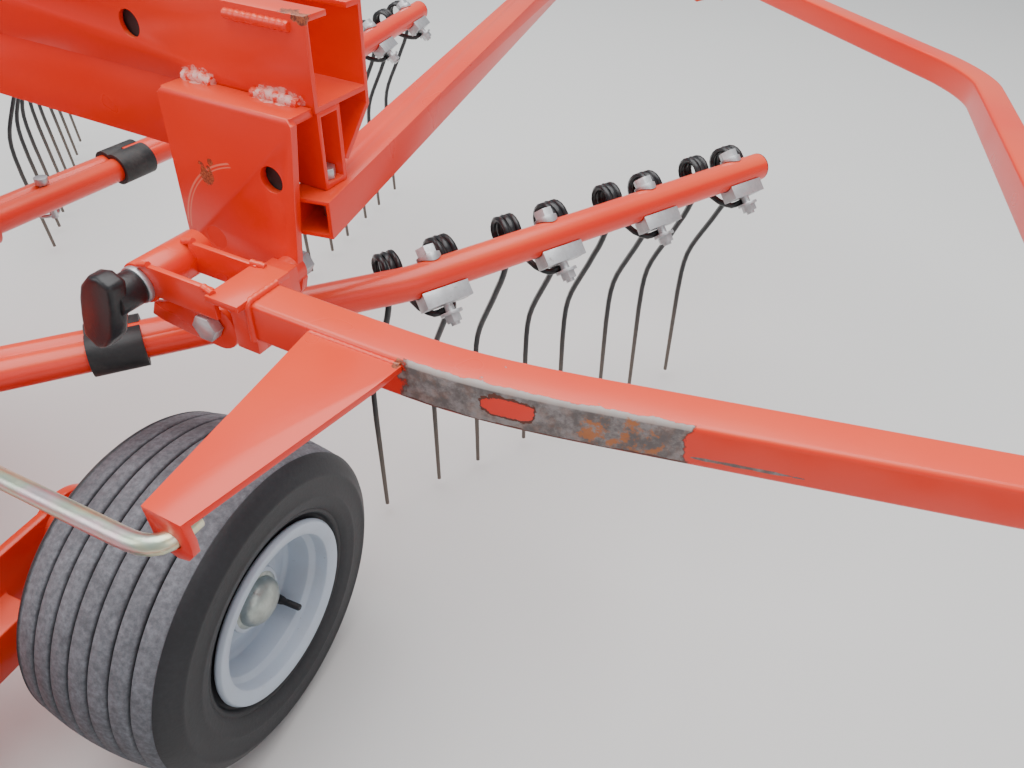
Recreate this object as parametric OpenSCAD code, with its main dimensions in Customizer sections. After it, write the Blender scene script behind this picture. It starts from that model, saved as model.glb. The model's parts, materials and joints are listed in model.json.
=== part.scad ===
// Rotor unit of a twin rotor hay rake: one tined rotor on its tandem running gear,
// with the carrier beam over its front edge and the folding guard hoop hinged to that beam.
// Millimetres, +Z up, +X outward from the machine, +Y in the direction of travel.
// The origin lies on the ground under the middle of the unit's outline.

/* [Rotor] */
// Number of tine arms round the rotor
arm_count = 10; // [8:1:12]
// Height of the arm tubes' axes over the ground
arm_z = 504; // [500:1:510]
// Distance from the rotor axis to the line that an arm's inner tube lies on
arm_offset = 306; // [290:1:320]
// Place of the rubber collar, measured along that line
collar_s = 722; // [700:1:740]
// Place of the bend in the arm tube, measured along that line
bend_s = 1056; // [1040:1:1075]
// Angle of that bend
bend_angle = 11.3; // [5:0.1:16]
// Length of the arm tube beyond the bend
outer_len = 647; // [635:1:655]
// Outside diameter of the arm tube
arm_d = 43; // [40:1:44]
// Direction in which the first arm points, from +X
first_arm = 47; // [30:0.5:60]
// Outside radius of the rotor housing
housing_r = 395; // [380:1:405]

/* [Tines] */
// Double tines on each arm
tine_count = 4; // [2:1:4]
// Spacing of the double tines along the arm
tine_pitch = 186; // [180:1:188]
// Distance from the last double tine's bolt to the arm's end
tine_end = 53; // [50:1:60]
// Turn of the clamps about the arm, their bolts leaning back
clamp_roll = 44; // [30:1:50]
// Diameter of the tine wire
wire_d = 10; // [8:0.5:10]
// Outside diameter of a spring coil
coil_d = 52; // [50:1:52]
// Distance between the middles of a double tine's two coils
coil_gap = 78; // [76:1:82]
// Clearance between the tine tips and the ground
tip_z = 15; // [8:1:40]

/* [Wheels] */
// Outside diameter of a tyre
tyre_d = 412; // [406:1:420]
// Width of a tyre
tyre_w = 212; // [200:1:216]
// Diameter over the rim's flanges
rim_d = 232; // [226:1:238]
// Distance from the rotor axis to a tyre's outer side
wheel_out = 924; // [915:1:930]
// Distance between the front and rear axle of a tandem
tandem_base = 520; // [500:1:530]
// Diameter of a stub axle
axle_d = 40; // [34:1:44]

/* [Carrier beam] */
// Turn of the beam and guard against the wheel axles
skew = 5.3; // [3:0.1:7]
// Inner and outer end of the beam along its own direction
beam_in = -120; // [-200:1:-100]
beam_out = 888; // [880:1:900]
// Near side of the beam, ahead of the rotor axis
beam_y = 515; // [510:1:520]
// Depth and height of the upper box
box_w = 80; // [70:1:84]
box_h = 77; // [70:1:84]
// Height of the seam between the upper box and the lower tube
seam_z = 762; // [758:1:766]
// Depth and height of the lower tube
low_w = 33; // [30:1:36]
low_h = 75; // [70:1:78]
// Plate thickness of the beam
beam_t = 5; // [4:0.5:6]
// Diameter of the service hole in the near wall
service_d = 26; // [18:1:30]

/* [Hinge] */
// Thickness of the hinge plate
plate_t = 8; // [6:0.5:8]
// Pivot axis of the guard, measured across and up
pivot_x = 859; // [856:1:862]
pivot_z = 603; // [600:1:606]
// Distance from the pivot to the latch pin
latch_r = 96; // [94:1:98]
// Diameter of the pivot bolt
pivot_d = 16; // [14:1:17]
// Diameter of the latch pin
latch_d = 24; // [20:1:24]

/* [Guard] */
// Side of the guard hoop's square tube
hoop_t = 40; // [36:1:40]
// Height of the hoop tube's top face
hoop_z = 644; // [642:1:646]
// Thickness of the tapered bracket
bracket_t = 6; // [5:0.5:8]
// Diameter of the plated stay rod
rod_d = 15; // [12:1:16]

/* [Hidden] */
$fn = 48;

red = "orangered";
zinc = "silver";
rubber = "dimgray";
black = [0.13, 0.13, 0.14];
wheel_grey = "lightsteelblue";

// The rotor axis, measured from the origin
rotor_at = [0, -105, 0];

// Gap left between pieces that touch in the real unit
seat = 0.3;
// Radial clearance of a running fit
running = 0.08;
// Radial clearance of the guard's pivot
pivot_run = 0.1;

arm_step = 360 / arm_count;
arm_r = arm_d / 2;
axle_z = tyre_d / 2;
wheel_mid = wheel_out - tyre_w / 2;

// Everything is drawn about the rotor axis and then set at its place
module placed() translate(rotor_at) children();

// The beam and the guard stand in a frame of their own, turned by the skew
module carrier() placed() rotate([0, 0, -skew]) children();

// Frame of one tine arm: X runs along the inner tube, Z up from the tube's axis
module arm_frame(i) placed()
    rotate([0, 0, first_arm + (i - 1) * arm_step]) translate([0, -arm_offset, arm_z]) children();

// Frame of an arm's outer tube, at the bend
module outer_frame(i) arm_frame(i)
    translate([bend_s, 0, 0]) rotate([0, 0, bend_angle]) children();

// Places of the double tines on an arm's outer tube, and of their clamps, which are rolled
module at_tines() for (k = [0 : tine_count - 1])
    translate([outer_len - tine_end - k * tine_pitch, 0, 0]) children();

module at_clamps() at_tines() rotate([-clamp_roll, 0, 0]) children();

// A round bar along +X
module bar_x(d, len) rotate([0, 90, 0]) cylinder(d = d, h = len);

// A round bar along +Y
module bar_y(d, len) rotate([-90, 0, 0]) cylinder(d = d, h = len);

// A plate drawn on X and Z as seen from behind the unit, its near face at Y = 0
module plate_xz(t) rotate([90, 0, 0]) mirror([0, 0, 1]) linear_extrude(t) children();

// Direction of a path at one of its points, halfway between its two stretches
function path_dir(path, i) =
    let (last = len(path) - 1,
         a = path[min(i + 1, last)] - path[min(i, last - 1)],
         b = path[max(i, 1)] - path[max(i - 1, 0)])
    a / norm(a) + b / norm(b);

// An outline's points set square to a direction, at a place on a path
function ring(at, dir, up, pts) =
    let (s = cross(dir, up), side = s / norm(s), top = cross(side, dir) / norm(dir))
    [for (p = pts) at + side * p[0] * 2 / norm(dir) + top * p[1]];

// A bar of a given outline swept along a path of straight stretches, mitred at each bend
module sweep(path, outline, up = [0, 0, 1]) {
    n = len(outline);
    last = len(path) - 1;
    polyhedron(
        points = [for (i = [0 : last]) each ring(path[i], path_dir(path, i), up, outline)],
        faces = concat(
            [[for (k = [n - 1 : -1 : 0]) k]],
            [for (i = [0 : last - 1], k = [0 : n - 1])
                [i * n + k, i * n + (k + 1) % n, (i + 1) * n + (k + 1) % n, (i + 1) * n + k]],
            [[for (k = [0 : n - 1]) last * n + k]]));
}

// Outline of a round wire
function round_outline(d, n) =
    [for (k = [0 : n - 1]) d / 2 * [cos(360 * (k + 0.5) / n), sin(360 * (k + 0.5) / n)]];

// Outline of a square tube with small round corners
function square_outline(w, r) = [for (q = [0 : 3], a = [0, 45, 90])
    let (c = [[1, 1], [-1, 1], [-1, -1], [1, -1]][q] * (w / 2 - r))
    c + r * [cos(q * 90 + a), sin(q * 90 + a)]];

// Rotor housing: a revolved drum with one bearing tube for each arm
column_d = 120;
neck_r = 112;
neck_low = 416;
housing_low = arm_z - 56;
housing_top = arm_z + 41;
neck_top = housing_top + 13;
bearing_d = 70;
bearing_in = 230;
bearing_out = 480;

module rotor_housing() color(red) {
    placed() rotate_extrude($fn = 96) polygon([
        [column_d / 2 + running, neck_low], [neck_r, neck_low],
        [neck_r + 18, housing_low], [housing_r - 14, housing_low],
        [housing_r, housing_low + 14], [housing_r, housing_top - 24],
        [housing_r - 24, housing_top], [neck_r, housing_top],
        [neck_r, neck_top], [column_d / 2 + running, neck_top]]);
    for (i = [1 : arm_count]) arm_frame(i) {
        translate([bearing_in, 0, 0]) bar_x(bearing_d, bearing_out - bearing_in);
        translate([bearing_out - 14, 0, 0]) bar_x(bearing_d + 12, 14);
    }
}

// Arm holders: paired tubes between the bearing tube and the collar
holder_d = 34;
holder_spread = 11;
holder_cap = 14;
pin_s = 586;
pin_d = 10;

module lobes(d, spread, len) for (side = [-1, 1])
    translate([0, side * spread, 0]) bar_x(d, len);

module arm_holders() color(red) for (i = [1 : arm_count]) arm_frame(i) difference() {
    union() {
        translate([bearing_out + seat, 0, 0]) bar_x(bearing_d - 6, holder_cap);
        translate([bearing_out + seat, 0, 0]) lobes(holder_d, holder_spread,
            collar_s - bearing_out - 2 * seat);
    }
    translate([pin_s, 0, -arm_r]) cylinder(d = pin_d + 2 * seat, h = arm_d);
}

// Securing pins of the arms, each with a folded wire ring below
module arm_pins() color(zinc) for (i = [1 : arm_count]) arm_frame(i)
    translate([pin_s, 0, 0]) {
        translate([0, 0, -34]) cylinder(d = pin_d, h = 58);
        translate([0, 0, holder_d / 2 + 1]) cylinder(d = pin_d + 8, h = 9);
        translate([0, 14, -30]) rotate_extrude($fn = 24) translate([14, 0]) circle(d = 5, $fn = 16);
    }

// Rubber collars over the joints between holders and arms
collar_len = 55;
collar_wall = 6;

module arm_collars() color(black) for (i = [1 : arm_count]) arm_frame(i)
    translate([collar_s - collar_len / 2, 0, 0]) difference() {
        lobes(holder_d + 2 * collar_wall, holder_spread, collar_len);
        translate([-1, 0, 0]) lobes(holder_d + 2 * seat, holder_spread, collar_len / 2 + 1);
        translate([collar_len / 2 - 1, 0, 0]) bar_x(arm_d + 2 * seat, collar_len / 2 + 2);
        translate([collar_len / 2 - 1, 0, 0]) lobes(holder_d + 2 * seat, holder_spread - 4,
            collar_len / 2 + 2);
    }

// Tine arm: a round tube with one bend and a cap, drilled for the clamps' bolts
bend_r = 200;
bend_cut = bend_r * tan(bend_angle / 2);
cap_len = 4;
clamp_bolt = 12;

// The bent tube's middle line in the arm's frame
arm_path = concat([[collar_s + seat, 0, 0]],
    [for (a = [0 : bend_angle / 4 : bend_angle + 0.01])
        [bend_s - bend_cut + bend_r * sin(a), bend_r * (1 - cos(a)), 0]],
    [[bend_s + outer_len * cos(bend_angle), outer_len * sin(bend_angle), 0]]);

module tine_arm(i) color(red) difference() {
    union() {
        arm_frame(i) sweep(arm_path, round_outline(arm_d, 24));
        arm_frame(i) translate([collar_s + seat, 0, 0]) lobes(holder_d, holder_spread - 4, 150);
        outer_frame(i) translate([outer_len - 1, 0, 0]) bar_x(arm_d - 4, cap_len + 1);
    }
    outer_frame(i) at_clamps() translate([0, 0, -arm_r - 1])
        cylinder(d = clamp_bolt + 2 * seat, h = arm_d + 2);
}

// Clamps: a saddle block under the arm, its bolt through the tube and its nut below
clamp_len = 66;
clamp_w = 26;
block_low = -arm_r - 17;
washer_z = block_low - wire_d - 2 * seat;

module tine_clamps() color(zinc) for (i = [1 : arm_count]) outer_frame(i) at_clamps() {
    difference() {
        union() {
            translate([-clamp_len / 2, -clamp_w / 2, block_low])
                cube([clamp_len, clamp_w, -block_low - 14]);
            translate([0, 0, 14]) cylinder(d = 32, h = arm_r - 14 + 5);
            translate([0, 0, arm_r + 4]) cylinder(d = 27.7, h = 12, $fn = 6);
        }
        translate([-clamp_len, 0, 0]) bar_x(arm_d + 4 * seat + 0.8, 2 * clamp_len);
    }
    translate([0, 0, washer_z - 4]) cylinder(d = 30, h = 4);
    translate([0, 0, washer_z - 14]) cylinder(d = 21.9, h = 11, $fn = 6);
    translate([0, 0, washer_z - 18]) cylinder(d = clamp_bolt, h = arm_r - washer_z + 22);
}

// Double tines: two coils behind the arm, a bridge under the clamp's block and two long prongs
coil_y = 52.5;
coil_z = -8;
coil_turns = 3;
turn = wire_d + 0.7;
coil_len = coil_turns * turn;
bridge_z = block_low - wire_d / 2 - seat;
bridge_x = (coil_gap - coil_len + turn) / 2;
prong_x = (coil_gap + coil_len - turn) / 2;
prong = [[32, -8], [32, -30], [38, -62], [52, -95], [77, -149], [101, -200], [109, -245],
    [107, -300], [98, tip_z - arm_z]];

// A point given in the rolled clamp's frame, in the arm's upright one
function rolled(x, y, z) = [x, y * cos(clamp_roll) + z * sin(clamp_roll),
    z * cos(clamp_roll) - y * sin(clamp_roll)];

bridge = [[bridge_x, coil_y, coil_z - coil_d / 2 + wire_d / 2], [bridge_x, 28, -35],
    [bridge_x - 6, 0, -41], rolled(14, 19, bridge_z), rolled(5, 12.2, bridge_z)];

module coil() {
    outer = coil_d / 2;
    inner = outer - wire_d;
    rotate([0, 90, 0]) rotate_extrude($fn = 30) polygon(concat(
        [[inner, 0]],
        [for (k = [0 : coil_turns - 1]) each [[outer - 3, k * turn],
            [outer, k * turn + 3], [outer, (k + 1) * turn - 3], [outer - 3, (k + 1) * turn]]],
        [[inner, coil_len]]));
}

module double_tine() {
    for (side = [-1, 1]) {
        translate([side * coil_gap / 2 - coil_len / 2, coil_y, coil_z]) coil();
        sweep([for (p = prong) [side * prong_x, p[0], p[1]]], round_outline(wire_d, 6), up = [1, 0, 0]);
    }
    sweep(concat(
        [for (p = bridge) [-p[0], p[1], p[2]]],
        [for (k = [4 : -1 : 0]) bridge[k]]), round_outline(wire_d, 6), up = [0.1, 0.3, 0.95]);
}

module tines(i) color(black) outer_frame(i) at_tines() double_tine();

// Gearbox on the column, its input pointing to the machine's middle
gear_low = neck_top + 6;
gear_h = 122;
gear_r = 118;
head_z = gear_low + gear_h;
input_d = 34.9;
input_len = 90;
input_z = gear_low + 62;
input_boss = 170;

module gearbox() color(red) placed() difference() {
    union() {
        translate([0, 0, gear_low]) cylinder(r = gear_r, h = gear_h - 18);
        translate([0, 0, gear_low + gear_h - 19]) cylinder(r1 = gear_r, r2 = gear_r - 16, h = 19);
        translate([-input_boss, 0, input_z]) bar_x(104, input_boss);
        rotate([0, 0, -skew]) translate([-40, 0, guide_z]) cube([80, guide_y - seat, guide_h]);
    }
    translate([-input_boss - 1, 0, input_z]) bar_x(72, 41);
}

module input_shaft() color(zinc) placed() {
    translate([-input_boss - input_len, 0, input_z]) bar_x(input_d, input_len + 30);
    translate([-input_boss - 2, 0, input_z]) bar_x(72 - 2 * seat, 42 - seat);
}

// Column through the rotor, joining the gearbox to the chassis
column_low = 140;

module column() color(red) placed() difference() {
    translate([0, 0, column_low]) cylinder(d = column_d, h = gear_low - seat - column_low);
    translate([0, 0, column_low - 1]) cylinder(d = column_d - 36, h = gear_low - column_low - 20);
}

// Chassis: a cross box from tandem pivot to tandem pivot, with a flange round the column
cross_w = 100;
cross_low = axle_z - 42.5;
cross_h = 84;
pivot_plane = 574;
ring_r = 150;

module chassis() color(red) placed() difference() {
    union() {
        translate([-pivot_plane + seat, -cross_w / 2, cross_low])
            cube([2 * (pivot_plane - seat), cross_w, cross_h]);
        translate([0, 0, cross_low + cross_h - 2]) cylinder(r = ring_r, h = 16);
        for (a = [0 : 45 : 315]) rotate([0, 0, a]) translate([ring_r - 22, 0, cross_low + cross_h])
            cylinder(d = 24, h = 26, $fn = 6);
    }
    translate([0, 0, cross_low - 1]) cylinder(d = column_d + 2 * seat, h = cross_h + 40);
}

// Tandem carriers: a rocker plate, its boss at each axle and a stiffening box at the pivot
tandem_t = 15;
tandem_h = 88;
boss_d = 92;
boss_len = 92;
stiff_w = 60;

module tandem(side) color(red) placed() mirror([side > 0 ? 0 : 1, 0, 0]) {
    translate([pivot_plane, 0, 0]) difference() {
        union() {
            translate([0, -tandem_base / 2, axle_z - tandem_h / 2])
                cube([tandem_t, tandem_base, tandem_h]);
            for (end = [-1, 1]) translate([0, end * tandem_base / 2, axle_z]) {
                bar_x(boss_d + 12, tandem_t);
                bar_x(boss_d, boss_len);
            }
            translate([0, 0, axle_z]) bar_x(120, 46);
            translate([0, -150, axle_z - 70]) cube([stiff_w, 300, 62]);
        }
        for (end = [-1, 1]) translate([-1, end * tandem_base / 2, axle_z])
            bar_x(axle_d + 2 * seat, boss_len + 2);
    }
}

axle_tip = wheel_out - 40;

module axles() color(zinc) placed() for (side = [-1, 1], end = [-1, 1])
    translate([side > 0 ? pivot_plane - 12 : -axle_tip, end * tandem_base / 2, axle_z])
        bar_x(axle_d, axle_tip - pivot_plane + 12);

// Wheels, numbered outer front, outer rear, inner front, inner rear
function wheel_side(k) = k < 3 ? 1 : -1;
function wheel_end(k) = k % 2 == 1 ? 1 : -1;

// Frame of a wheel: Z runs outward along its axle, from the wheel's middle
module wheel_frame(k) placed()
    translate([wheel_side(k) * wheel_mid, wheel_end(k) * tandem_base / 2, axle_z])
    rotate([0, wheel_side(k) * 90, 0]) children();

tyre_r = tyre_d / 2;
rim_r = rim_d / 2;
rib_count = 7;
groove_w = 5;
groove_d = 7;
tread_w = 170;
rib_w = (tread_w - (rib_count - 1) * groove_w) / rib_count;
bead_r = 101;
bead_y = 90;

// Height of the slightly crowned tread
function crown(y) = tyre_r - 9 * pow(y / (tread_w / 2), 2);

function tread_points() = [for (k = [0 : rib_count - 1])
    let (y0 = -tread_w / 2 + k * (rib_w + groove_w), y1 = y0 + rib_w)
    each (k == 0 ? [[crown(y0), y0], [crown(y1), y1]] :
        [[crown(y0) - groove_d, y0 - groove_w + 1], [crown(y0) - groove_d, y0 - 1],
         [crown(y0), y0], [crown(y1), y1]])];

// Half of the tyre's side, from the bead to the shoulder
side_points = [[bead_r, bead_y], [rim_r + 4, bead_y], [rim_r + 10, bead_y + 8],
    [rim_r + 22, tyre_w / 2 - 3], [rim_r + 36, tyre_w / 2], [rim_r + 58, tyre_w / 2 - 2],
    [tyre_r - 18, tyre_w / 2 - 10]];

module tyre(k) color(rubber) wheel_frame(k) rotate_extrude($fn = 72) polygon(concat(
    [for (p = side_points) [p[0], -p[1]]],
    tread_points(),
    [for (q = [len(side_points) - 1 : -1 : 0]) side_points[q]]));

// Rim: a dished disc with a hub and a turned-out flange on each side
hub_r = 44;
rim_t = 5;
disc_z = 30;

module rim(k) color(wheel_grey) wheel_frame(k) rotate_extrude($fn = 72) polygon([
    [axle_d / 2 + running, -74], [hub_r, -74], [hub_r, disc_z - 4], [hub_r + 20, disc_z + 4],
    [bead_r - 16, disc_z], [bead_r - 12, 20], [bead_r - 12, -bead_y + 16],
    [bead_r - rim_t - seat, -bead_y + 8], [bead_r - rim_t - seat, -bead_y - 8],
    [rim_r - 3, -bead_y - 12], [rim_r, -bead_y - 6], [rim_r - 2, -bead_y - 2],
    [bead_r - seat, -bead_y - 1], [bead_r - seat, -bead_y + 16], [bead_r - 7, -bead_y + 24],
    [bead_r - 7, bead_y - 24], [bead_r - seat, bead_y - 16], [bead_r - seat, bead_y + 1],
    [rim_r - 2, bead_y + 2], [rim_r, bead_y + 6], [rim_r - 3, bead_y + 12],
    [bead_r - rim_t - seat, bead_y + 8], [bead_r - rim_t - seat, bead_y - 8],
    [bead_r - 12, bead_y - 16], [bead_r - 12, 36], [bead_r - 16, disc_z + 6],
    [hub_r + 18, disc_z + 11], [hub_r, disc_z + 10], [hub_r, disc_z + 30],
    [axle_d / 2 + running, disc_z + 30]]);

// Head arm: square tube from the gearbox's top to the carrier beam
head_w = 80;
head_h = 70;
pad_t = 8;

module head_arm() color(red) carrier() {
    difference() {
        translate([-head_w / 2, -90, head_z + seat]) cube([head_w, beam_y - seat + 90 - pad_t, head_h]);
        translate([-head_w / 2 + 6, -91, head_z + 6]) cube([head_w - 12, beam_y + 80, head_h - 12]);
    }
    translate([-80, beam_y - seat - pad_t, head_z + seat]) cube([160, pad_t, 150]);
}

// Carrier beam: an open-topped upper box with a bent far wall, on a lower rectangular tube
box_top = seam_z + box_h;
box_far = beam_y + box_w;
top_lip = 30;
far_lip = 22;
far_low = 743;
skirt = [beam_y + 35.5, 704];
low_z = seam_z - beam_t - low_h - seat;

module along_beam(x0, x1) carrier() translate([x0, 0, 0])
    rotate([90, 0, 90]) linear_extrude(x1 - x0) children();

module beam_box() color(red) difference() {
    along_beam(beam_in + seat, beam_out) {
        polygon([[beam_y, seam_z - beam_t], [beam_y, box_top], [beam_y + top_lip, box_top],
            [beam_y + top_lip, box_top - beam_t], [beam_y + beam_t, box_top - beam_t],
            [beam_y + beam_t, seam_z], [box_far - beam_t, seam_z],
            [box_far - beam_t, box_top - beam_t], [box_far - far_lip, box_top - beam_t],
            [box_far - far_lip, box_top], [box_far, box_top], [box_far, far_low],
            [skirt[0] + 4, skirt[1] - 4], skirt, [box_far - beam_t, far_low + 2],
            [box_far - beam_t, seam_z - beam_t]]);
    }
    carrier() translate([671, beam_y - 1, 800]) bar_y(service_d, beam_t + 2);
}

module beam_tube() color(red) difference() {
    along_beam(beam_in + seat, beam_out) translate([beam_y + 2, low_z]) difference() {
        square([low_w, low_h]);
        translate([beam_t, beam_t]) square([low_w - 2 * beam_t, low_h - 2 * beam_t]);
    }
    carrier() translate(strut_bolt) cylinder(d = 13, h = 12, center = true);
}

// End flange of the beam, bolted to the machine's middle frame
flange_d = 240;
flange_t = 14;
flange_pcd = 200;
flange_hole = 17;
flange_at = [beam_in - flange_t, beam_y + 40, 762];

module end_flange() color(red) carrier() translate(flange_at) difference() {
    bar_x(flange_d, flange_t);
    for (a = [0 : 60 : 300]) rotate([a, 0, 0]) translate([-1, 0, flange_pcd / 2])
        bar_x(flange_hole, flange_t + 2);
}

// Near hinge plate: bent over at the top, with two latch holes on a circle about the pivot
plate_y = 481;
latch_rest = 174.6;
latch_folded = 92.8;
boss_low = 426;
plate_outline = [[728, seam_z - 6], [734, seam_z], [882, seam_z], [888, seam_z - 6],
    [869.5, 606], [874, 596], [870, 582], [858, 568], [838, 565], [744, 568], [728, 580], [723, 600]];

function latch_at(a) = [pivot_x + latch_r * cos(a), pivot_z + latch_r * sin(a)];

module hinge_plate() color(red) carrier() difference() {
    union() {
        translate([0, plate_y, 0]) plate_xz(plate_t) polygon(plate_outline);
        translate([731, plate_y + 3, seam_z - plate_t]) cube([154, beam_y - seat - plate_y - 3, plate_t]);
        translate([pivot_x, boss_low, pivot_z]) bar_y(30, plate_y + plate_t - boss_low);
    }
    for (a = [latch_rest, latch_folded]) translate([latch_at(a)[0], plate_y - 1, latch_at(a)[1]])
        bar_y(latch_d + 2, plate_t + 2);
    translate([pivot_x, boss_low - 1, pivot_z]) bar_y(pivot_d + 2 * seat, 80);
}

// Strut: rectangular tube from behind the hinge plate to the far hinge
strut_w = 45;
strut_h = 39;
strut_turn = 12.2;
strut_len = 1365;
strut_z = low_z - seat - strut_h;
strut_bolt = [874, beam_y + 19, low_z];

module strut() color(red) difference() {
    union() {
        carrier() translate([905, plate_y + plate_t + seat + strut_w * sin(strut_turn), strut_z])
            rotate([0, 0, strut_turn])
            translate([-strut_w, 0, 0]) tube_y(strut_w, strut_len, strut_h);
        carrier() translate([600, far_y - 60, strut_z + 2]) cube([290, strut_w, strut_h - 4]);
    }
    carrier() translate(strut_bolt - [0, 0, strut_h + 1]) cylinder(d = 13, h = strut_h + 2);
}

module tube_y(w, len, h) difference() {
    cube([w, len, h]);
    translate([4, -1, 4]) cube([w - 8, len - 20, h - 8]);
}

// Far hinge: plate on the strut's end, carrying the guard's second pivot
far_y = 1870;
far_t = 10;

module far_hinge() color(red) carrier() difference() {
    union() {
        translate([0, far_y, 0]) plate_xz(far_t) polygon([[800, 680], [884, 680], [884, 600],
            [875, 584], [859, 578], [843, 584], [800, 640]]);
        translate([800, far_y - 60 + strut_w + seat, strut_z]) cube([84, 61 - strut_w - seat, strut_h]);
    }
    translate([pivot_x, far_y - 1, pivot_z]) bar_y(pivot_d + 2 * seat, far_t + 2);
}

// Stay guide: slotted bar on the gearbox that takes the stay rod's inner end
guide_y = 134;
guide_t = 10;
guide_h = 44;
guide_z = 568;
guide_out = 732;
slot_from = 566;

module stay_guide() color(red) carrier() difference() {
    translate([-40, guide_y, guide_z]) cube([guide_out + 40, guide_t, guide_h]);
    for (x = [slot_from, guide_out - 22])
        translate([x, guide_y - 1, guide_z + guide_h / 2]) bar_y(rod_d + 3, guide_t + 2);
    translate([slot_from, guide_y - 1, guide_z + guide_h / 2 - (rod_d + 3) / 2])
        cube([guide_out - 22 - slot_from, guide_t + 2, rod_d + 3]);
}

// Bolts that stay with the frame: the guard's two pivots and the strut's bolt
yoke_near = 358;
yoke_far = 420;
head_af = 24;

module hex_y(len) rotate([-90, 0, 0]) cylinder(d = head_af / cos(30), h = len, $fn = 6);

module frame_bolts() color(zinc) {
    carrier() translate([pivot_x, 0, pivot_z]) {
        translate([0, yoke_near - 12, 0]) hex_y(11);
        translate([0, yoke_near - 2, 0]) bar_y(pivot_d, plate_y + plate_t + 18 - yoke_near);
        translate([0, plate_y + plate_t + seat, 0]) hex_y(13);
        translate([0, far_y - 8 - seat, 0]) hex_y(8);
        translate([0, far_y - 2, 0]) bar_y(pivot_d, 92);
        translate([0, far_y + 85, 0]) hex_y(11);
    }
    carrier() translate(strut_bolt) {
        translate([0, 0, beam_t + seat]) cylinder(d = 22, h = 10, $fn = 6);
        translate([0, 0, -strut_h - 12]) cylinder(d = 12, h = strut_h + 20);
        translate([0, 0, -strut_h - 11 - seat]) cylinder(d = 22, h = 10, $fn = 6);
    }
}

// Guard hoop: square tube bent at its corners, over the rotor's outer front edge
hoop_path = [[909, 391], [1050, 391], [1112, 394], [1180, 406], [1260, 425.5], [1568, 501.7],
    [1596, 511], [1614, 530], [1618, 556], [1465, 1362], [1456, 1405], [1432, 1452], [1398, 1497],
    [1362, 1531], [1134, 1750], [966, 1911], [944, 1925], [912, 1928]];

module guard_hoop() color(red) carrier()
    sweep([for (p = hoop_path) [p[0], p[1], hoop_z - hoop_t / 2]], square_outline(hoop_t, 5));

// Yoke: collar on the hoop's end, latch tube, two cross plates and two pivot plates
latch_tube_d = 34;
collar_x = 878;
collar_out = 908.7;
yoke_t = 6;
latch_x = latch_at(latch_rest)[0];
latch_z = latch_at(latch_rest)[1];
tube_near = 364;
tube_far = 473;
pivot_plate = [[784, 641], [886, 641], [886, 590], [879, 583], [866, 578], [852, 578], [838, 584],
    [800, 612], [784, 620]];

module guard_yoke() color(red) carrier() difference() {
    union() {
        translate([collar_x, yoke_near + yoke_t, 600]) cube([collar_out - collar_x, 60, 47]);
        translate([latch_x, tube_near, latch_z]) bar_y(latch_tube_d, tube_far - tube_near);
        for (y = [yoke_near + yoke_t, yoke_far - yoke_t]) translate([latch_x + 10, y, 612])
            cube([collar_x + 1 - latch_x - 10, yoke_t, 40]);
        for (y = [yoke_near, yoke_far - yoke_t]) translate([0, y, 0])
            plate_xz(yoke_t) polygon(pivot_plate);
        translate([collar_x - 2, yoke_near, 588]) cube([14, 60, 36]);
    }
    translate([latch_x, yoke_near - 1, latch_z]) bar_y(latch_d + 2 * seat, 130);
    translate([pivot_x, yoke_near - 1, pivot_z]) bar_y(pivot_d + 2 * pivot_run, 80);
}

// Latch pin, drawn back, and its handle
handle_y = 322;
pin_near = 352;

module latch_pin() color(zinc) carrier() translate([latch_x, pin_near, latch_z]) {
    bar_y(latch_d, plate_y - 6 - pin_near);
    translate([0, yoke_near - pin_near, 0]) bar_y(latch_tube_d - 2, 6 - seat);
}

module latch_handle() color(black) carrier() translate([latch_x, 0, latch_z]) difference() {
    union() {
        translate([0, handle_y + 18, 0]) bar_y(31, yoke_near - seat - handle_y - 18);
        rotate([0, -8, 0]) translate([-13, handle_y, -55]) cube([26, 24, 94]);
    }
    translate([0, pin_near - seat, 0]) bar_y(latch_d + 2 * seat, 40);
}

// Far collar on the hoop's other end
module far_collar() color(red) carrier() difference() {
    translate([834, far_y + far_t + 8, 582]) cube([75.2, 64, 65]);
    translate([884, far_y + far_t + 7, 581]) cube([30, 14, 67]);
    translate([pivot_x, far_y, pivot_z]) bar_y(pivot_d + 2 * pivot_run, 120);
}

// Tapered bracket on the hoop's near side, its end bent down into an eyed tab
tab_y = 169;
tab_x = 1026;
tab_z = 617;
bracket_root = 391 - hoop_t / 2 - seat;

module guard_bracket() color(red) carrier() difference() {
    union() {
        translate([0, 0, hoop_z - 4 - bracket_t]) linear_extrude(bracket_t)
            polygon([[977, bracket_root], [1070, bracket_root], [1067, 342], [1041, tab_y],
                [1007, tab_y]]);
        translate([0, tab_y, 0]) plate_xz(bracket_t) polygon([[1007, 640], [1041, 640],
            [1044, 622], [1043, 610], [1037, 602], [1026, 598.5], [1015, 602], [1009, 610]]);
        translate([1020, 348, 606]) cube([bracket_t, bracket_root - 348, 30]);
    }
    translate([tab_x, tab_y - 1, tab_z]) bar_y(rod_d + 2 * pivot_run, bracket_t + 2);
}

// Stay rod: hooked into the tab, its inner end beside the guide's slot
rod_y = 156.5;
rod_in = 700;

module stay_rod() color(zinc) carrier() {
    rod_z0 = guide_z + guide_h / 2;
    slope = (tab_z - rod_z0) / (tab_x - rod_in);
    sweep([for (p = [[rod_in, rod_y], [1008, rod_y], [1019, 158.5], [1025, 163]])
        [p[0], p[1], rod_z0 + slope * (p[0] - rod_in)]], round_outline(rod_d, 16));
    translate([tab_x, 160, tab_z]) bar_y(rod_d, tab_y + bracket_t + 16 - 160);
}

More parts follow.
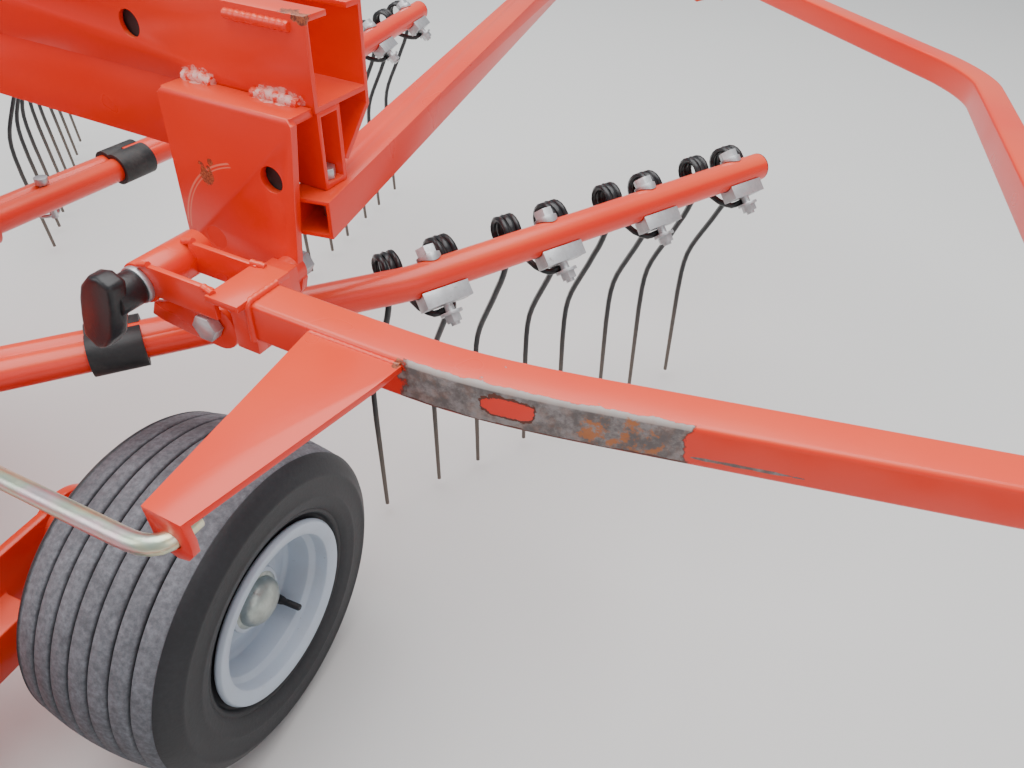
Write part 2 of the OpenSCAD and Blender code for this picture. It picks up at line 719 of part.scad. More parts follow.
rotor_housing();
arm_holders();
arm_collars();
arm_pins();
for (i = [1 : arm_count]) {
    tag = str(i < 10 ? "0" : "", i);
    tine_arm(i);
    tines(i);
}
tine_clamps();
gearbox();
input_shaft();
column();
chassis();
tandem(1);  // tandem_outer
tandem(-1);  // tandem_inner
axles();
for (k = [1 : 4]) {
    tyre(k);
    rim(k);
}
head_arm();
beam_box();
beam_tube();
end_flange();
hinge_plate();
strut();
far_hinge();
stay_guide();
frame_bolts();
guard_hoop();
guard_yoke();
latch_pin();
latch_handle();
far_collar();
guard_bracket();
stay_rod();
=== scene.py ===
"""Rotor unit of a hay rake: the finished surfaces of the guard, beam, wheels and tines."""

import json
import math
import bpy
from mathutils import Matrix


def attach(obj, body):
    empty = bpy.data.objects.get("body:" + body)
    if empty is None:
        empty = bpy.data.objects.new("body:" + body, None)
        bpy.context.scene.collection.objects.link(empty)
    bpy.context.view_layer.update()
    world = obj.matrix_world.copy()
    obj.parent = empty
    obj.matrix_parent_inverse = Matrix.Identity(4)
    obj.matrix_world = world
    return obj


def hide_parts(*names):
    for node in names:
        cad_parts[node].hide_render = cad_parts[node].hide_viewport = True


bl_info = {
    "name": "Hay Rake Rotor Unit",
    "version": (1, 0, 0),
    "blender": (4, 5, 0),
    "location": "View3D > Sidebar > Hay Rake",
    "description": "Finishes a hay rake's rotor unit: paint, tyres, spring tines and guard",
    "category": "Object",
}

import bpy
from mathutils import Matrix, Vector, noise

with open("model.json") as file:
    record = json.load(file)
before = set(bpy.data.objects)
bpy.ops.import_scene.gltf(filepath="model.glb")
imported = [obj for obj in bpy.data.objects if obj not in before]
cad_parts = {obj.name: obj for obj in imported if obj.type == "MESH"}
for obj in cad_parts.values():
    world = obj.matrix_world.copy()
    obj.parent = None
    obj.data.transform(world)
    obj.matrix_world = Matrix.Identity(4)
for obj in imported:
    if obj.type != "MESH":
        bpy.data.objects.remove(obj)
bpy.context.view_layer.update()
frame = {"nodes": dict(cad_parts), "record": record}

MILLIMETRES = Matrix.Scale(0.001, 4)

# The rotor axis, and the frame of the beam and guard, which stands askew to the axles
ROTOR = Vector((0, -0.105, 0))
SKEW = math.radians(5.3)
CARRIER = Matrix.Translation(ROTOR) @ Matrix.Rotation(-SKEW, 4, "Z") @ MILLIMETRES

# Places of the wheels' centres from the rotor axis, in metres
WHEEL_OUT = 0.818
AXLE_SPREAD = 0.26
AXLE_HEIGHT = 0.206
WHEELS = ((1, 1, "outer_front"), (1, -1, "outer_rear"), (-1, 1, "inner_front"), (-1, -1, "inner_rear"))

# The tine arms: the turn of the first, in degrees, and the place of each one's axis, in metres
ARM_COUNT = 10
FIRST_ARM = 47
ARM_PLACE = (0, -0.306, 0.504)

# An arm's tube and its tines, in millimetres along the arm
TUBE_WIDTH = 43
TUBE_START = 722.3
BEND_AT = 1056
BEND = math.radians(11.3)
BEND_RADIUS = 200
OUTER_LENGTH = 646
OUTERMOST_TINE = 594
TINE_SPACING = 186
TINES_PER_ARM = 4


def arm_matrix(i):
    """Millimetre frame of arm i: X along its inner tube."""
    turn = Matrix.Rotation(math.radians(FIRST_ARM + 360 / ARM_COUNT * i), 4, "Z")
    return Matrix.Translation(ROTOR) @ turn @ Matrix.Translation(ARM_PLACE) @ MILLIMETRES


def outer_matrix(i):
    """Millimetre frame of arm i's outer tube, from its bend."""
    return arm_matrix(i) @ Matrix.Translation((BEND_AT, 0, 0)) @ Matrix.Rotation(BEND, 4, "Z")


def wheel_matrix(side, end):
    """Millimetre frame of a wheel: Z outward along its axle."""
    spot = ROTOR + Vector((side * WHEEL_OUT, end * AXLE_SPREAD, AXLE_HEIGHT))
    return Matrix.Translation(spot) @ Matrix.Rotation(side * math.pi / 2, 4, "Y") @ MILLIMETRES


# Sizes and colours that a user may change


class RakePaintProps(bpy.types.PropertyGroup):
    paint: bpy.props.FloatVectorProperty(
        name="Paint", description="Colour of the red paint", subtype="COLOR", size=4,
        min=0, max=1, default=(0.84, 0.016, 0.002, 1))
    paint_faded: bpy.props.FloatVectorProperty(
        name="Faded paint", description="Colour of the paint where it has faded", subtype="COLOR",
        size=4, min=0, max=1, default=(0.90, 0.034, 0.008, 1))


class RakeWheelProps(bpy.types.PropertyGroup):
    ribs: bpy.props.IntProperty(
        name="Ribs", description="Ribs round the tread", min=5, max=9, default=7)
    groove: bpy.props.FloatProperty(
        name="Groove depth", description="Depth of the tread's grooves, in millimetres",
        min=2, max=9, default=7)
    rim: bpy.props.FloatVectorProperty(
        name="Rim paint", description="Colour of the rims", subtype="COLOR", size=4,
        min=0, max=1, default=(0.50, 0.57, 0.66, 1))


class RakeTineProps(bpy.types.PropertyGroup):
    wire: bpy.props.FloatProperty(
        name="Wire", description="Diameter of the spring wire, in millimetres",
        min=8, max=10, default=9.2)
    pitch: bpy.props.FloatProperty(
        name="Coil pitch", description="Spacing of a coil's turns, in millimetres",
        min=9, max=11, default=9.4)


class RakeStageProps(bpy.types.PropertyGroup):
    floor: bpy.props.FloatVectorProperty(
        name="Floor", description="Colour of the floor", subtype="COLOR", size=4,
        min=0, max=1, default=(0.72, 0.72, 0.70, 1))
    lens: bpy.props.FloatProperty(
        name="Lens", description="Focal length of the camera", subtype="DISTANCE_CAMERA",
        min=10, max=100, default=27.07)


# Materials


class Finish:
    """One material's node tree, with short calls for the nodes that the finishes share."""

    def __init__(self, name, **sockets):
        self.material = bpy.data.materials.new(name)
        self.material.use_nodes = True
        self.tree = self.material.node_tree
        self.shader = self.tree.nodes["Principled BSDF"]
        coords = self.add("ShaderNodeTexCoord")
        self.place = coords.outputs["Object"]
        self.normal = coords.outputs["Normal"]
        for socket, value in sockets.items():
            self.put(socket.replace("_", " ").capitalize(), value)

    def add(self, kind, inputs=None, **settings):
        """A new node with its settings, and with its inputs linked or set."""
        node = self.tree.nodes.new(kind)
        for key, value in settings.items():
            setattr(node, key, value)
        for key, value in (inputs or {}).items():
            self.join(node.inputs[key], value)
        return node

    def join(self, socket, value):
        """Links a socket to another one, or sets its value."""
        if isinstance(value, bpy.types.NodeSocket):
            self.tree.links.new(value, socket)
        else:
            socket.default_value = value

    def put(self, socket, value):
        """Links or sets one of the shader's sockets."""
        names = {s.name.lower(): s for s in self.shader.inputs}
        self.join(names[socket.lower()], value)

    def math(self, operation, a, b=0.0, c=0.0):
        return self.add("ShaderNodeMath", {0: a, 1: b, 2: c}, operation=operation).outputs[0]

    def vector(self, operation, a, b=(0, 0, 0)):
        """The outputs of a vector sum: Vector and Value."""
        return self.add("ShaderNodeVectorMath", {0: a, 1: b}, operation=operation).outputs

    def noise(self, scale, detail=4.0, rough=0.5, where=None):
        node = self.add("ShaderNodeTexNoise", {"Vector": where or self.place, "Scale": scale,
                                               "Detail": detail, "Roughness": rough})
        return node.outputs["Fac"]

    def step(self, value, low, high):
        """A smooth step from 0 at low to 1 at high."""
        node = self.add("ShaderNodeMapRange", {"Value": value, "From Min": low, "From Max": high},
                        interpolation_type="SMOOTHSTEP")
        return node.outputs["Result"]

    def span(self, value, low, high):
        """A value from 0 to 1, carried over to the stretch from low to high."""
        node = self.add("ShaderNodeMapRange", {"Value": value, "To Min": low, "To Max": high})
        return node.outputs["Result"]

    def mix(self, factor, a, b):
        """A colour between two others."""
        node = self.add("ShaderNodeMix", data_type="RGBA")
        for index, value in ((0, factor), (6, a), (7, b)):
            self.join(node.inputs[index], value)
        return node.outputs[2]

    def stretched(self, scale):
        """The piece's coordinates, scaled by a different amount each way."""
        return self.add("ShaderNodeMapping", {"Vector": self.place, "Scale": scale}).outputs["Vector"]

    def bump(self, height, distance, strength):
        node = self.add("ShaderNodeBump", {"Height": height, "Distance": distance,
                                           "Strength": strength})
        self.put("Normal", node.outputs["Normal"])

    def carrier_place(self):
        """Coordinates in the beam's frame, in millimetres."""
        shift = -(Matrix.Rotation(SKEW, 3, "Z") @ ROTOR) * 1000
        node = self.add("ShaderNodeMapping", {"Vector": self.place, "Scale": (1000, 1000, 1000),
                                              "Rotation": (0, 0, SKEW), "Location": shift})
        return node.outputs["Vector"]

    def zone(self, where, centre, size, ragged, grain, box=False):
        """1 inside a ragged patch about a place in the beam's frame, 0 outside it."""
        unit = self.vector("DIVIDE", self.vector("SUBTRACT", where, centre)["Vector"], size)["Vector"]
        if box:
            flat = self.vector("ABSOLUTE", unit)["Vector"]
            parts = self.add("ShaderNodeSeparateXYZ", {0: flat}).outputs
            reach = self.math("MAXIMUM", self.math("MAXIMUM", parts[0], parts[1]), parts[2])
        else:
            reach = self.vector("LENGTH", unit)["Value"]
        swing = self.math("SUBTRACT", self.noise(grain, 5.0, 0.6, where), 0.5)
        wave = self.math("MULTIPLY", swing, 2 * ragged)
        return self.step(self.math("ADD", reach, wave), 1.015, 0.985)

    def facing(self, direction, low=0.55, high=0.75, wave=0.0):
        """1 on faces that look in a direction, 0 on the others."""
        dot = self.vector("DOT_PRODUCT", self.normal, direction)["Value"]
        return self.step(self.math("ADD", dot, wave), low, high)

    def either(self, masks):
        """The strongest of several masks."""
        total = masks[0]
        for mask in masks[1:]:
            total = self.math("MAXIMUM", total, mask)
        return total


# Worn spots of the paint, as (centre, half size, raggedness) in the beam's frame
RUST_SPOTS = (
    ((768, 481, 683), (8, 9, 11), 1.1),
    ((778, 481, 698), (4, 9, 3), 0.9),
    ((1066, 370, 641), (4, 5, 4), 0.9),
    ((884, 515, 838), (9, 9, 6), 0.8),
    ((868, 522, 841), (14, 9, 3), 0.9),
    ((700, 515, 836), (14, 7, 3), 0.9),
    ((560, 515, 836), (10, 7, 3), 0.9),
)
PALE_SPOTS = (
    ((751, 514, 765), (21, 10, 9), 0.7),
    ((845, 514, 765), (30, 10, 9), 0.7),
)


# The guard's long chip and what lies in it, as (centre, half size, raggedness, grain) in the beam's frame.
# A dark rim runs round the chip and round the island of paint that is left in it.
CHIP_RIM = ((1182, 395, 629), (113, 60, 23), 0.20, 0.04)
CHIP = ((1182, 395, 629), (111, 60, 20.5), 0.20, 0.04)
ISLAND_RIM = ((1160, 384, 625), (22.5, 60, 9.5), 0.62, 0.07)
ISLAND = ((1160, 384, 625), (25, 60, 12), 0.62, 0.07)
SCRATCH = ((1335, 424, 614.5), (42, 30, 1.5), 0.9, 0.06)
HEAVY_RUST = ((1244, 400, 622), (34, 60, 17), 0.7, 0.05)

# The arcs worn into the hinge plate's paint: their centre, their radii and widths, and their patch
ARC_CENTRE = (826, 0, 604)
ARCS = ((101, 1.3), (97.5, 0.9))
ARC_PATCH = ((770, 481, 655), (52, 9, 60), 0.3, 0.05)


def spotted(made, where, colour, height):
    """Adds pale spots, worn arcs and rust spots to the paint's colour and height."""
    pale = made.either([made.zone(where, at, size, ragged, 0.08) for at, size, ragged in PALE_SPOTS])
    streak = made.step(made.noise(0.13, 5.0, 0.7, where), 0.40, 0.56)
    pale = made.math("MULTIPLY", pale, made.math("MULTIPLY", streak, 0.75))
    colour = made.mix(pale, colour, (0.92, 0.62, 0.55, 1))
    off = made.vector("SUBTRACT", where, ARC_CENTRE)["Vector"]
    flat = made.vector("MULTIPLY", off, (1, 0, 1))["Vector"]
    reach = made.vector("LENGTH", flat)["Value"]
    lines = [made.step(made.math("ABSOLUTE", made.math("SUBTRACT", reach, radius)), wide, wide * 0.4)
             for radius, wide in ARCS]
    arc = made.math("MULTIPLY", made.either(lines), made.zone(where, *ARC_PATCH))
    colour = made.mix(made.math("MULTIPLY", arc, 0.6), colour, (0.90, 0.36, 0.24, 1))
    rusty = made.either([made.zone(where, at, size, ragged, 0.11) for at, size, ragged in RUST_SPOTS])
    grain = made.step(made.noise(0.5, 4.0, 0.7, where), 0.4, 0.6)
    brown = made.mix(grain, (0.09, 0.03, 0.018, 1), (0.42, 0.13, 0.05, 1))
    colour = made.mix(made.math("MULTIPLY", rusty, 0.9), colour, brown)
    return colour, made.math("SUBTRACT", height, made.math("MULTIPLY", rusty, 0.6))


def bare_steel(made, where):
    """Colour of the scraped steel: grey, lighter on the tube's upper rounding, with patches of rust."""
    grey = made.step(made.noise(0.07, 6.0, 0.7, where), 0.38, 0.66)
    steel = made.mix(grey, (0.125, 0.11, 0.105, 1), (0.30, 0.275, 0.265, 1))
    rounding = made.facing((0, 0, 1), 0.10, 0.35)
    steel = made.mix(made.math("MULTIPLY", rounding, 0.8), steel, (0.47, 0.42, 0.39, 1))
    rust = made.step(made.noise(0.09, 6.0, 0.7, where), 0.47, 0.60)
    heavy = made.math("MULTIPLY_ADD", made.zone(where, *HEAVY_RUST), 0.80, 0.12)
    return made.mix(made.math("MULTIPLY", rust, heavy), steel, (0.46, 0.15, 0.04, 1))


def chipped_off(made, where, colour, gloss, height):
    """Adds the long chip to the paint's colour, gloss and height, on the guard's near face."""
    wave = made.math("MULTIPLY_ADD", made.noise(0.06, 5.0, 0.65, where), 1.5, -0.75)
    near = made.facing((-math.sin(SKEW), -math.cos(SKEW), 0), 0.27, 0.33, wave)
    scratch = made.zone(where, *SCRATCH)
    worn, bare = [
        made.math("MULTIPLY", near, made.either([
            made.math("MULTIPLY", made.zone(where, *chip, box=True),
                      made.math("SUBTRACT", 1.0, made.zone(where, *island))), scratch]))
        for chip, island in ((CHIP_RIM, ISLAND_RIM), (CHIP, ISLAND))]
    colour = made.mix(worn, colour, (0.12, 0.030, 0.016, 1))
    colour = made.mix(bare, colour, bare_steel(made, where))
    gloss = made.add("ShaderNodeMix", {0: worn, 2: gloss, 3: 0.6}, data_type="FLOAT").outputs[0]
    height = made.math("SUBTRACT", height, worn)
    grain = made.math("MULTIPLY", worn, made.noise(0.3, 4.0, 0.6, where))
    return colour, gloss, made.math("ADD", height, made.math("MULTIPLY", grain, 0.3))


def red_paint(name, paint, chipped=False, spots=True):
    """Semi-gloss red paint, faded, dusty and lighter on upward faces as painted top light, with or without
    its worn spots and the guard's long chip.
    """
    made = Finish(name, roughness=0.3)
    fade = made.step(made.noise(2.3, 3.0), 0.35, 0.7)
    colour = made.mix(fade, paint.paint[:], paint.paint_faded[:])
    # Dust and painted top light: a lighter orange-red in noisy patches, strongest on upward faces, where the
    # sky lights them
    dust_and_top_light = made.math("MULTIPLY_ADD", made.facing((0, 0, 1)), 0.50, 0.06)
    dust_and_top_light = made.math("MULTIPLY", made.noise(5.0, 2.0), dust_and_top_light)
    colour = made.mix(dust_and_top_light, colour, (0.92, 0.20, 0.075, 1))
    gloss = made.math("MULTIPLY_ADD", made.noise(9.0, 2.0), 0.16, 0.22)
    height = made.math("MULTIPLY", made.noise(130.0, 2.0), 0.25)
    where = made.carrier_place()
    if spots:
        colour, height = spotted(made, where, colour, height)
    if chipped:
        colour, gloss, height = chipped_off(made, where, colour, gloss, height)
    made.put("Base Color", colour)
    made.put("Roughness", gloss)
    made.put("Coat Weight", 0.12)
    made.put("Coat Roughness", 0.18)
    made.bump(height, 0.0006, 0.6)
    return made.material


def zinc_plate(name, tint=(0.62, 0.64, 0.66, 1), rough=0.42):
    """Zinc plating with cloudy patches, and brown dirt on its rougher places."""
    made = Finish(name, metallic=0.85)
    cloud = made.step(made.noise(38.0, 5.0, 0.6), 0.3, 0.7)
    colour = made.mix(cloud, tint, tuple(c * 0.72 for c in tint[:3]) + (1,))
    dirt = made.step(made.noise(75.0, 5.0, 0.7), 0.60, 0.72)
    colour = made.mix(made.math("MULTIPLY", dirt, 0.5), colour, (0.17, 0.13, 0.10, 1))
    made.put("Base Color", colour)
    made.put("Roughness", made.span(cloud, rough - 0.1, rough + 0.1))
    made.bump(made.noise(260.0, 3.0), 0.0004, 0.5)
    return made.material


def iridescent_zinc(name):
    """Passivated zinc: silver that turns yellow, green and pink in long soft bands."""
    made = Finish(name, metallic=0.9)
    band = made.noise(26.0, 3.0, 0.5, made.stretched((0.5, 1.2, 1.2)))
    ramp = made.add("ShaderNodeValToRGB", {"Fac": band})
    ramp.color_ramp.elements[0].position = 0.30
    ramp.color_ramp.elements[0].color = (0.72, 0.70, 0.62, 1)
    ramp.color_ramp.elements[1].position = 0.72
    ramp.color_ramp.elements[1].color = (0.60, 0.66, 0.66, 1)
    for at, tone in ((0.42, (0.78, 0.72, 0.46, 1)), (0.52, (0.56, 0.66, 0.52, 1)),
                     (0.61, (0.72, 0.56, 0.58, 1))):
        ramp.color_ramp.elements.new(at).color = tone
    made.put("Base Color", ramp.outputs["Color"])
    made.put("Roughness", made.span(made.noise(90.0, 4.0), 0.22, 0.42))
    made.bump(made.noise(300.0, 2.0), 0.0003, 0.4)
    return made.material


def soft_black(name, tone=(0.012, 0.012, 0.013, 1), dusty=0.3, rough=0.5, grain=300.0):
    """Black rubber or plastic under a little dust."""
    made = Finish(name)
    dust = made.step(made.noise(24.0, 6.0, 0.7), 0.42, 0.80)
    colour = made.mix(made.math("MULTIPLY", dust, dusty), tone, (0.22, 0.20, 0.18, 1))
    made.put("Base Color", colour)
    made.put("Roughness", made.span(dust, rough, rough + 0.25))
    made.bump(made.noise(grain, 3.0), 0.0004, 0.5)
    return made.material


def spring_black(name):
    """Black-painted spring steel, rubbed to brown-grey metal towards the ground."""
    made = Finish(name)
    height = made.add("ShaderNodeSeparateXYZ", {0: made.place}).outputs[2]
    grain = made.noise(70.0, 5.0, 0.65)
    low = made.step(made.math("ADD", height, made.math("MULTIPLY", grain, 0.16)), 0.34, 0.16)
    colour = made.mix(made.step(grain, 0.4, 0.7), (0.010, 0.010, 0.012, 1), (0.030, 0.029, 0.030, 1))
    colour = made.mix(made.math("MULTIPLY", low, 0.8), colour, (0.17, 0.14, 0.115, 1))
    made.put("Base Color", colour)
    made.put("Roughness", made.span(low, 0.30, 0.62))
    made.bump(grain, 0.0005, 0.4)
    return made.material


def tyre_rubber(name):
    """Tyre rubber: grey dust on the ribs, black in the grooves, dull black sides."""
    made = Finish(name)
    ribs = made.add("ShaderNodeAttribute", attribute_name="dust").outputs["Fac"]
    patch = made.step(made.noise(17.0, 7.0, 0.72), 0.30, 0.72)
    fine = made.step(made.noise(160.0, 5.0, 0.7), 0.30, 0.75)
    amount = made.math("MULTIPLY", ribs, made.math("MULTIPLY_ADD", patch, 0.35, 0.62))
    colour = made.mix(made.math("MULTIPLY", amount, made.math("MULTIPLY_ADD", fine, 0.5, 0.5)),
                      (0.009, 0.009, 0.011, 1), (0.265, 0.275, 0.305, 1))
    made.put("Base Color", colour)
    made.put("Roughness", made.span(amount, 0.50, 0.88))
    coarse = made.math("MULTIPLY", made.noise(55.0, 3.0), 0.4)
    made.bump(made.math("ADD", made.noise(210.0, 5.0, 0.7), coarse), 0.0008, 0.5)
    return made.material


def rim_paint(name, tone):
    """Light grey-blue wheel paint with dust in its low places."""
    made = Finish(name)
    dust = made.step(made.noise(12.0, 6.0, 0.7), 0.40, 0.85)
    colour = made.mix(made.math("MULTIPLY", dust, 0.28), tone[:], (0.40, 0.38, 0.34, 1))
    speck = made.step(made.noise(190.0, 3.0, 0.7), 0.68, 0.73)
    colour = made.mix(made.math("MULTIPLY", speck, 0.5), colour, (0.16, 0.14, 0.12, 1))
    made.put("Base Color", colour)
    made.put("Roughness", made.span(dust, 0.32, 0.55))
    made.bump(made.noise(90.0, 3.0), 0.0003, 0.4)
    return made.material


FINISHES = {}


def finish_called(name):
    """One of the unit's materials, all of which are mixed when the first is asked for."""
    if not FINISHES:
        paint = bpy.context.scene.rake_paint
        FINISHES.update(
            red=red_paint("Red paint", paint),
            plain_red=red_paint("Red paint, rotor", paint, spots=False),
            hoop=red_paint("Red paint, chipped guard", paint, chipped=True),
            zinc=zinc_plate("Zinc plate"),
            cast=zinc_plate("Zinc casting", (0.70, 0.71, 0.72, 1), 0.5),
            cap=zinc_plate("Hub cap plate", (0.50, 0.54, 0.50, 1), 0.38),
            rod=iridescent_zinc("Passivated rod"),
            rubber=soft_black("Black rubber"),
            plastic=soft_black("Black plastic", (0.010, 0.010, 0.012, 1), 0.10, 0.30, 500.0),
            spring=spring_black("Spring steel"),
            tyre=tyre_rubber("Tyre rubber"),
            rim=rim_paint("Rim paint", bpy.context.scene.rake_wheel.rim),
        )
    return FINISHES[name]


# Modelling by hand


def alone(piece):
    """Makes one object the only one selected, and the active one."""
    bpy.ops.object.select_all(action="DESELECT")
    piece.select_set(True)
    bpy.context.view_layer.objects.active = piece
    return piece


def added(name):
    """Names what an operator has just made."""
    piece = bpy.context.object
    piece.name = name
    piece.data.name = name
    return alone(piece)


def place(piece, matrix):
    """Moves a piece by a matrix and puts that place into its mesh."""
    alone(piece)
    piece.matrix_world = matrix @ piece.matrix_world
    bpy.ops.object.transform_apply(location=True, rotation=True, scale=True)
    return piece


def modify(piece, kind, **settings):
    """Gives a piece a modifier and applies it."""
    alone(piece)
    modifier = piece.modifiers.new(kind.title(), kind)
    for key, value in settings.items():
        setattr(modifier, key, value)
    bpy.ops.object.modifier_apply(modifier=modifier.name)
    return piece


def rounded(piece, width, angle, segments=2):
    """Rounds the edges that turn by more than an angle, in degrees."""
    return modify(piece, "BEVEL", width=width, segments=segments, limit_method="ANGLE",
                  angle_limit=math.radians(angle), use_clamp_overlap=True, harden_normals=False)


def closed(piece, gap):
    """Merges a mesh's doubles and points its faces outwards."""
    alone(piece)
    bpy.ops.object.mode_set(mode="EDIT")
    bpy.ops.mesh.select_all(action="SELECT")
    bpy.ops.mesh.remove_doubles(threshold=gap)
    bpy.ops.mesh.normals_make_consistent(inside=False)
    bpy.ops.object.mode_set(mode="OBJECT")
    return piece


def smooth(piece, angle):
    """Shades a piece smooth, apart from edges that turn by more than an angle, in degrees."""
    alone(piece)
    bpy.ops.object.shade_smooth_by_angle(angle=math.radians(angle))
    return piece


def joined(name, pieces):
    """Makes several pieces one."""
    bpy.ops.object.select_all(action="DESELECT")
    for piece in pieces:
        piece.select_set(True)
    bpy.context.view_layer.objects.active = pieces[0]
    bpy.ops.object.join()
    return added(name)


def copied(piece, name, matrix):
    """A copy of a piece with its own mesh, set by a matrix."""
    alone(piece)
    bpy.ops.object.duplicate(linked=False)
    return place(added(name), matrix)


def removed(piece):
    """Deletes a form that has been copied."""
    alone(piece)
    bpy.ops.object.delete()


def fitted(piece, body, finish, *nodes):
    """Gives a finished piece its material and its body, and hides the nodes it stands for."""
    piece.data.materials.clear()
    piece.data.materials.append(finish_called(finish))
    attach(piece, body)
    if nodes:
        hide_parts(*nodes)
    return piece


def drawn(name, points):
    """A chain of points as a mesh, extruded from a plane's merged corner."""
    bpy.ops.object.select_all(action="DESELECT")
    bpy.ops.mesh.primitive_plane_add(size=1, location=(0, 0, 0))
    piece = added(name)
    bpy.ops.object.mode_set(mode="EDIT")
    bpy.ops.mesh.select_all(action="SELECT")
    bpy.ops.mesh.merge(type="CENTER")
    bpy.ops.transform.translate(value=points[0])
    for here, there in zip(points, points[1:]):
        step = Vector(there) - Vector(here)
        bpy.ops.mesh.extrude_region_move(TRANSFORM_OT_translate={"value": step})
    return piece


def turned(name, outline, steps):
    """A piece turned about Z from an outline of (radius, height) points."""
    piece = drawn(name, [Vector((r, 0, z)) for r, z in outline])
    bpy.ops.mesh.select_all(action="SELECT")
    bpy.ops.mesh.spin(steps=steps, angle=2 * math.pi, center=(0, 0, 0), axis=(0, 0, 1))
    bpy.ops.mesh.select_all(action="SELECT")
    bpy.ops.mesh.remove_doubles(threshold=0.01)
    bpy.ops.mesh.normals_make_consistent(inside=False)
    bpy.ops.object.mode_set(mode="OBJECT")
    return piece


def slab(name, outline, step):
    """A flat plate from a closed outline of points, thickened by a step."""
    piece = drawn(name, list(outline) + [outline[0]])
    bpy.ops.mesh.select_all(action="SELECT")
    bpy.ops.mesh.remove_doubles(threshold=0.001)
    bpy.ops.mesh.edge_face_add()
    bpy.ops.mesh.extrude_region_move(TRANSFORM_OT_translate={"value": step})
    bpy.ops.mesh.select_all(action="SELECT")
    bpy.ops.mesh.normals_make_consistent(inside=False)
    bpy.ops.object.mode_set(mode="OBJECT")
    return piece


def block(name, low, high):
    """A block between two corners, as a slab."""
    base = [Vector((x, y, low[2])) for x, y in
            ((low[0], low[1]), (high[0], low[1]), (high[0], high[1]), (low[0], high[1]))]
    return slab(name, base, (0, 0, high[2] - low[2]))


def bar(name, path, width=0, resolution=4, radii=None, outline=None):
    """A bar along a path, as a curve made a mesh: round and of a width, or with a drawn outline."""
    bpy.ops.object.select_all(action="DESELECT")
    bpy.ops.curve.primitive_nurbs_path_add(location=(0, 0, 0))
    piece = added(name)
    curve = piece.data
    curve.splines.clear()
    line = curve.splines.new("POLY")
    line.points.add(len(path) - 1)
    for index, at in enumerate(path):
        line.points[index].co = (*at, 1)
        line.points[index].radius = radii[index] if radii else 1
    curve.twist_mode = "Z_UP" if outline else "MINIMUM"
    curve.use_fill_caps = True
    shape = None
    if outline:
        bpy.ops.object.select_all(action="DESELECT")
        bpy.ops.curve.primitive_nurbs_circle_add(location=(0, 0, 0))
        shape = bpy.context.object
        shape.data.splines.clear()
        ring = shape.data.splines.new("POLY")
        ring.points.add(len(outline) - 1)
        for index, (x, y) in enumerate(outline):
            ring.points[index].co = (x, y, 0, 1)
        ring.use_cyclic_u = True
        curve.bevel_mode = "OBJECT"
        curve.bevel_object = shape
    else:
        curve.bevel_depth = width / 2
        curve.bevel_resolution = resolution
    alone(piece)
    bpy.ops.object.convert(target="MESH")
    if shape:
        removed(shape)
    return closed(piece, 0.001)


def rod(name, diameter, length, at, sides, edge):
    """A round bar that lies along Y, with the edges of its ends rounded."""
    bpy.ops.object.select_all(action="DESELECT")
    bpy.ops.mesh.primitive_cylinder_add(vertices=sides, radius=diameter / 2, depth=length,
                                        location=at, rotation=(-math.pi / 2, 0, 0))
    piece = added(name)
    bpy.ops.object.transform_apply(location=True, rotation=True, scale=True)
    return rounded(piece, edge, 40) if edge else piece


# The hinge plate's fold is above and in front of these, in the beam's frame
FOLD_ABOVE = 757
FOLD_BEFORE = 483
FOLD_RADIUS = 0.007


def fold_eased(piece):
    """Rounds the hinge plate's fold."""
    back = CARRIER.inverted()
    places = [back @ vertex.co for vertex in piece.data.vertices]
    bpy.ops.object.mode_set(mode="EDIT")
    bpy.ops.mesh.select_all(action="DESELECT")
    bpy.ops.object.mode_set(mode="OBJECT")
    for edge in piece.data.edges:
        edge.select = all(places[v].z > FOLD_ABOVE and places[v].y < FOLD_BEFORE for v in edge.vertices)
    bpy.ops.object.mode_set(mode="EDIT")
    bpy.ops.mesh.select_mode(type="EDGE")
    bpy.ops.mesh.bevel(offset=FOLD_RADIUS, segments=5)
    bpy.ops.mesh.select_mode(type="VERT")
    bpy.ops.object.mode_set(mode="OBJECT")


def finished_copy(node, name, width, fold=False):
    """A copy of a CAD node with its flat faces made whole, its edges rounded and any fold eased."""
    mesh = frame["nodes"][node].data.copy()
    piece = bpy.data.objects.new(name, mesh)
    bpy.context.scene.collection.objects.link(piece)
    alone(piece)
    bpy.ops.object.mode_set(mode="EDIT")
    bpy.ops.mesh.select_all(action="SELECT")
    bpy.ops.mesh.remove_doubles(threshold=1e-5)
    bpy.ops.mesh.dissolve_limited(angle_limit=math.radians(0.5))
    bpy.ops.object.mode_set(mode="OBJECT")
    if fold:
        fold_eased(piece)
    rounded(piece, width, 30)
    return smooth(piece, 40)


def lumpy(seed, count, low=0.88, high=1.10):
    """Radii of a weld bead: soft ripples along its length."""
    radii = []
    for k in range(count):
        ripple = 0.5 + 0.5 * math.sin(k * 2.1)
        drift = 0.75 + 0.5 * noise.noise(Vector((k * 0.37, seed, 0)))
        radii.append(low + (high - low) * ripple * drift)
    return radii


# Distance between the points of a weld bead, in millimetres
BEAD_STEP = 2.2


def bead(name, path, width, seed):
    """A weld bead along a path in the beam's frame."""
    points = []
    for a, b in zip(path, path[1:]):
        a, b = Vector(a), Vector(b)
        count = max(2, int((b - a).length / BEAD_STEP))
        points += [a.lerp(b, k / count) for k in range(count)]
    points.append(Vector(path[-1]))
    return bar(name, points, width, 2, lumpy(seed, len(points)))


